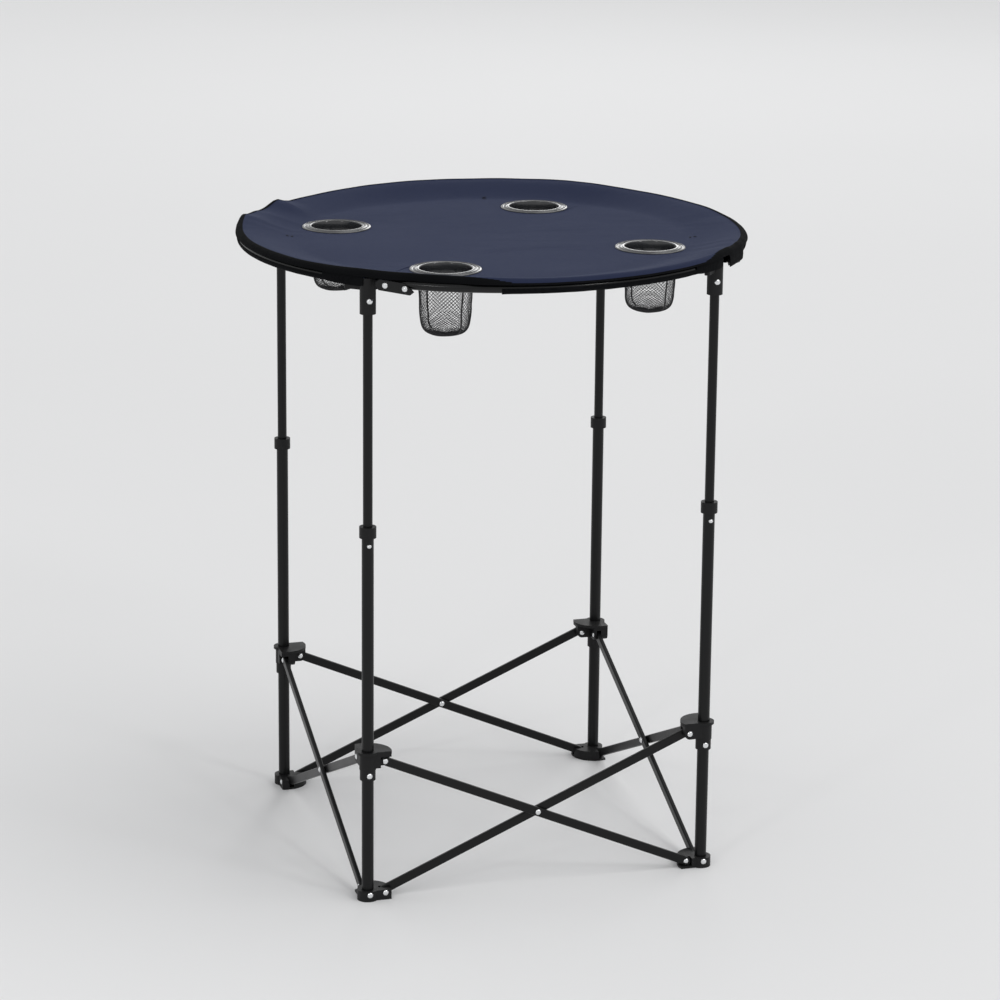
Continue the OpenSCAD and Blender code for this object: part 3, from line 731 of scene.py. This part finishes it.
ring = {
    "steps": 96,
    "profile": [            # radius and height over the cloth, in millimetres
        (36.6, -15.0), (38.6, -15.0), (39.3, -14.0), (39.3, -5.2), (46.3, -5.2), (46.3, -2.3), (39.3, -2.3),
        (39.3, 0.0), (50.3, 0.0), (50.5, 0.7), (49.8, 1.6), (47.6, 2.0), (46.9, 1.1), (45.5, 1.0), (44.8, 2.2),
        (42.6, 2.6), (41.9, 1.6), (40.5, 1.5), (39.9, 2.5), (37.9, 2.7), (36.9, 2.2), (36.5, 1.2)],
    "softEdge": 0.00025,
}


def makeRings():
    for k, side in enumerate(sides):
        centre = cupCentre(k)
        bm = bmesh.new()
        outline = ring["profile"] + ring["profile"][:1]
        points = [(centre.x + radius / 1000, centre.y, centre.z + height / 1000) for radius, height in outline]
        spinProfile(bm, points, centre=centre, steps=ring["steps"])
        bmesh.ops.recalc_face_normals(bm, faces=bm.faces)
        piece = linkMesh(side + "CupRing", bm, [glossRing], sharpAngle=50)
        bevel = piece.modifiers.new("softEdge", "BEVEL")
        bevel.width = ring["softEdge"]
        bevel.segments = 2
        bevel.limit_method = "ANGLE"
        bevel.angle_limit = math.radians(40)
        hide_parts(side + "_cup_ring")
        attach(piece, side + "_top")


makeRings()
print("stage: cup rings made")


# --- netting bags ---

net = {
    "cells": 42,            # round the bag
    "strand": 0.00095,
    "rings": [              # radius and depth under the cloth, in millimetres: the rows gather at the bottom
        (39.9, 9.0), (39.5, 14.0), (39.0, 19.2), (38.4, 24.4), (37.9, 29.6), (37.4, 34.8), (36.9, 40.0),
        (36.5, 45.2), (36.1, 50.4), (35.8, 55.6), (35.4, 60.6), (35.1, 65.0), (34.8, 68.8), (34.5, 72.2),
        (34.1, 75.4), (33.5, 78.4), (32.5, 81.2), (31.0, 83.8), (28.8, 86.2), (25.8, 88.2), (22.0, 89.8),
        (17.5, 91.0), (11.5, 91.7), (5.0, 92.0)],
    "sway": (0.0014, 55),
    "swayFrom": (0.012, 0.016),   # the middle of the bottom and the mouth keep their shape
    "seams": (-70, 115),    # where the bag is sewn together, seen from above
    "seamWidth": 4.5,       # degrees round the bag
    "seamThickness": 0.0005,
    "patch": (0.0068, 0.0924),    # radius and depth of the patch sewn over the bottom
    "tape": (0.0402, 0.0076, 0.0124, 0.0004),   # radius, depth of both edges, bulge
    "tapeThickness": 0.0008,
    "foldLevel": 0.012,     # depth that the bag flattens to in folding
}


def swayNet(bm, centre, k):
    height, closeness = net["sway"]
    bottom, mouth = net["swayFrom"]
    for vert in bm.verts:
        away = Vector((vert.co.x - centre.x, vert.co.y - centre.y, 0))
        wobble = height * noise.noise(vert.co * closeness + Vector((0, 0, k * 1.7)))
        if away.length > bottom and vert.co.z < centre.z - mouth:
            vert.co += away.normalized() * wobble + Vector((0, 0, wobble * 0.6))


def makeNetting(k, centre):
    bm = bmesh.new()
    points = [(centre.x + radius / 1000, centre.y, centre.z - depth / 1000) for radius, depth in net["rings"]]
    spinProfile(bm, points, centre=centre, steps=net["cells"])
    squareEdges = bm.edges[:]
    bmesh.ops.poke(bm, faces=bm.faces[:])
    inner = [edge for edge in squareEdges if edge.is_valid and len(edge.link_faces) == 2]
    bmesh.ops.dissolve_edges(bm, edges=inner, use_verts=False)   # leaves diamonds, as knitted netting has
    swayNet(bm, centre, k)
    piece = linkMesh(sides[k] + "CupNet", bm, [blackNetting])
    wire = piece.modifiers.new("strands", "WIREFRAME")
    wire.thickness = net["strand"]
    wire.use_even_offset = False
    wire.use_boundary = True
    applyModifiers(piece)
    for polygon in piece.data.polygons:
        polygon.use_smooth = True
    return piece


def makeSeams(k, centre):
    # two sewn seams and the patch over the bottom
    bm = bmesh.new()
    for seam in net["seams"]:
        angle = math.radians(seam)
        points = []
        for radius, depth in net["rings"][1:-2]:
            reach = (radius + 0.5) / 1000
            points.append((centre.x + reach * math.cos(angle), centre.y + reach * math.sin(angle),
                           centre.z - (depth + 0.3) / 1000))
        spinProfile(bm, points, centre=centre, angle=math.radians(net["seamWidth"]), steps=3)
    radius, depth = net["patch"]
    bmesh.ops.create_circle(bm, cap_ends=True, segments=20, radius=radius,
                            matrix=Matrix.Translation((centre.x, centre.y, centre.z - depth)))
    swayNet(bm, centre, k)
    bmesh.ops.recalc_face_normals(bm, faces=bm.faces)
    piece = linkMesh(sides[k] + "NetSeams", bm, [blackNetting])
    thicken(piece, net["seamThickness"])
    return piece


def makeTape(k, centre):
    # a woven tape holds the bag round the ring's barrel
    radius, high, low, bulge = net["tape"]
    bm = bmesh.new()
    points = [(centre.x + radius + bulge * math.sin(math.pi * i / 4), centre.y,
               centre.z - high - (low - high) * i / 4) for i in range(5)]
    spinProfile(bm, points, centre=centre, steps=72)
    bmesh.ops.recalc_face_normals(bm, faces=bm.faces)
    piece = linkMesh(sides[k] + "NetTape", bm, [blackBinding])
    solid = piece.modifiers.new("thickness", "SOLIDIFY")
    solid.thickness = net["tapeThickness"]
    solid.offset = 0
    applyModifiers(piece)
    return piece


def makeNets():
    for k, side in enumerate(sides):
        centre = cupCentre(k)
        netting = makeNetting(k, centre)
        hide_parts(side + "_cup_net")
        seams = makeSeams(k, centre)
        tape = makeTape(k, centre)
        for piece in (netting, seams, tape):
            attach(piece, side + "_top")
        for piece in (netting, seams):
            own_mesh(piece)


makeNets()
print("stage: netting bags made")


# --- bright rivet heads where the frame's own heads are black, and on the sockets ---

rivet = {
    "radius": 0.00425,
    "height": 0.0021,
    "steps": 24,
    "plateOff": 0.0465,      # middle of the rim plate past the corner
    "platePitch": 0.029,
    "plateTilt": 4.4,        # it dips away from the corner
    "plateFace": 0.3678,
    "plateHeight": 0.8973,
    "crossingHeight": 0.1085,
    "crossingOuter": 0.2583,
    "crossingInner": 0.2439,
    "socketFace": 0.01065,
    "socketHeight": 0.873,
    "foot": 0.0005,          # how far a head is let in
    "rings": 7,
}


def makeDome(name, body, place, outward):
    bm = bmesh.new()
    rise = rivet["height"]
    sphere = (rivet["radius"] ** 2 + rise ** 2) / (2 * rise)
    reach = math.asin(rivet["radius"] / sphere)
    points = []
    for i in range(rivet["rings"] + 1):
        angle = reach * i / rivet["rings"]
        points.append((sphere * math.sin(angle), 0, rise - sphere + sphere * math.cos(angle)))
    points += [(rivet["radius"], 0, -rivet["foot"]), (0, 0, -rivet["foot"])]
    spinProfile(bm, points, steps=rivet["steps"])
    bmesh.ops.recalc_face_normals(bm, faces=bm.faces)
    turn = Vector((0, 0, 1)).rotation_difference(Vector(outward)).to_matrix().to_4x4()
    bmesh.ops.transform(bm, matrix=Matrix.Translation(place) @ turn, verts=bm.verts)
    piece = linkMesh(name, bm, [brightRivet], sharpAngle=50)
    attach(piece, body)


def makeRivets():
    plateAngle = math.degrees(math.atan2(rivet["plateOff"], layout["rimRadius"]))
    tilt = math.radians(rivet["plateTilt"])
    for k, side in enumerate(sides):
        turn = Matrix.Rotation(math.pi / 2 * k, 3, "Z")
        angle = math.radians(layout["startAngle"] + 90 * k + plateAngle)
        outward = Vector((math.cos(angle), math.sin(angle), 0))
        along = Vector((-math.sin(angle), math.cos(angle), 0)) * math.cos(tilt) - Vector((0, 0, math.sin(tilt)))
        plate = outward * rivet["plateFace"] + Vector((0, 0, rivet["plateHeight"]))
        for label, way in (("First", -1), ("Second", 1)):
            place = plate + along * way * rivet["platePitch"] / 2
            makeDome(side + "PlateRivet" + label, side + "_top", place, outward)
        for label, reach, way in (("Outer", rivet["crossingOuter"], -1), ("Inner", rivet["crossingInner"], 1)):
            makeDome(side + "CrossingRivet" + label, side + "_outer_link",
                     turn @ Vector((0, -reach, rivet["crossingHeight"])), turn @ Vector((0, way, 0)))
    for k, corner in enumerate(corners):
        leg = Matrix.Rotation(math.pi / 2 * k, 3, "Z") @ Vector((-layout["half"], -layout["half"], 0))
        way = -1 if corner.startswith("front") else 1
        makeDome(corner + "SocketRivet", corner + "_upper",
                 leg + Vector((0, way * rivet["socketFace"], rivet["socketHeight"])), (0, way, 0))


makeRivets()
print("stage: rivets made")


# --- floor, light and camera ---

studio = {
    "floorSize": 60.0,
    "floorColour": (0.80, 0.80, 0.803, 1),
    "worldColour": (0.97, 0.975, 0.98, 1),
    "worldStrength": 0.70,
    "sun": ((2.2, -1.2, 5.0), 0.78, 50),     # from, strength, apparent size in degrees
    "lamps": [               # name, place, aim, size, power
        ("key", (1.9, -3.0, 3.2), (0, 0, 0.7), 0.7, 16),
        ("fill", (-2.85, -3.0, 2.5), (0, 0, 0.8), 0.4, 12),
        ("back", (2.9, 7.6, 3.3), (0, 0, 0.9), 2.2, 26)],
    "camera": (-1.52617, -5.05059, 1.97413),
    "pitch": 15.566, "yaw": 16.986, "roll": 0.573,
    "focal": 134.05,         # mm on a 36 mm sensor
}


def makeFloor():
    bm = bmesh.new()
    bmesh.ops.create_grid(bm, x_segments=8, y_segments=8, size=studio["floorSize"] / 2)
    material, tree, shader = newMaterial("paleFloor", {"Roughness": 0.7, "Specular IOR Level": 0.2})
    place = addNode(tree, "ShaderNodeTexCoord")
    cloud = addNode(tree, "ShaderNodeTexNoise", values={"Scale": 0.6, "Detail": 3.0})
    tone = addNode(tree, "ShaderNodeMix", {"data_type": "RGBA"})
    colour = studio["floorColour"]
    tone.inputs["A"].default_value = colour
    tone.inputs["B"].default_value = tuple(channel * 0.97 for channel in colour[:3]) + (1,)
    tree.links.new(place.outputs["Object"], cloud.inputs["Vector"])
    tree.links.new(cloud.outputs["Fac"], tone.inputs["Factor"])
    tree.links.new(tone.outputs["Result"], shader.inputs["Base Color"])
    floor = linkMesh("studioFloor", bm, [material])


def hangLamp(lamp, place, aim):
    holder = bpy.data.objects.new(lamp.name, lamp)
    bpy.context.scene.collection.objects.link(holder)
    holder.location = place
    holder.rotation_euler = (Vector(aim) - Vector(place)).to_track_quat("-Z", "Y").to_euler()


def makeLight():
    world = bpy.data.worlds.new("studioWorld")
    bpy.context.scene.world = world
    world.use_nodes = True
    background = world.node_tree.nodes["Background"]
    background.inputs["Color"].default_value = studio["worldColour"]
    background.inputs["Strength"].default_value = studio["worldStrength"]
    place, strength, spread = studio["sun"]
    sun = bpy.data.lights.new("softSun", "SUN")
    sun.energy = strength
    sun.angle = math.radians(spread)
    hangLamp(sun, place, (0, 0, 0))
    for name, place, aim, size, power in studio["lamps"]:
        lamp = bpy.data.lights.new(name, "AREA")
        lamp.shape = "DISK"
        lamp.size = size
        lamp.energy = power
        hangLamp(lamp, place, aim)


def makeCamera():
    camera = bpy.data.cameras.new("photoCamera")
    camera.sensor_width = 36
    camera.lens = studio["focal"]
    camera.clip_end = 200
    holder = bpy.data.objects.new("photoCamera", camera)
    bpy.context.scene.collection.objects.link(holder)
    pitch, yaw, roll = (math.radians(studio[key]) for key in ("pitch", "yaw", "roll"))
    forward = Vector((math.sin(yaw) * math.cos(pitch), math.cos(yaw) * math.cos(pitch), -math.sin(pitch)))
    level = Vector((math.cos(yaw), -math.sin(yaw), 0))
    lift = level.cross(forward)
    right = level * math.cos(roll) + lift * math.sin(roll)
    up = -level * math.sin(roll) + lift * math.cos(roll)
    turn = Matrix((right, up, -forward)).transposed().to_4x4()
    holder.matrix_world = Matrix.Translation(studio["camera"]) @ turn
    bpy.context.scene.camera = holder


makeFloor()
makeLight()
makeCamera()
bpy.context.scene.view_settings.view_transform = "Standard"
print("stage: studio made")
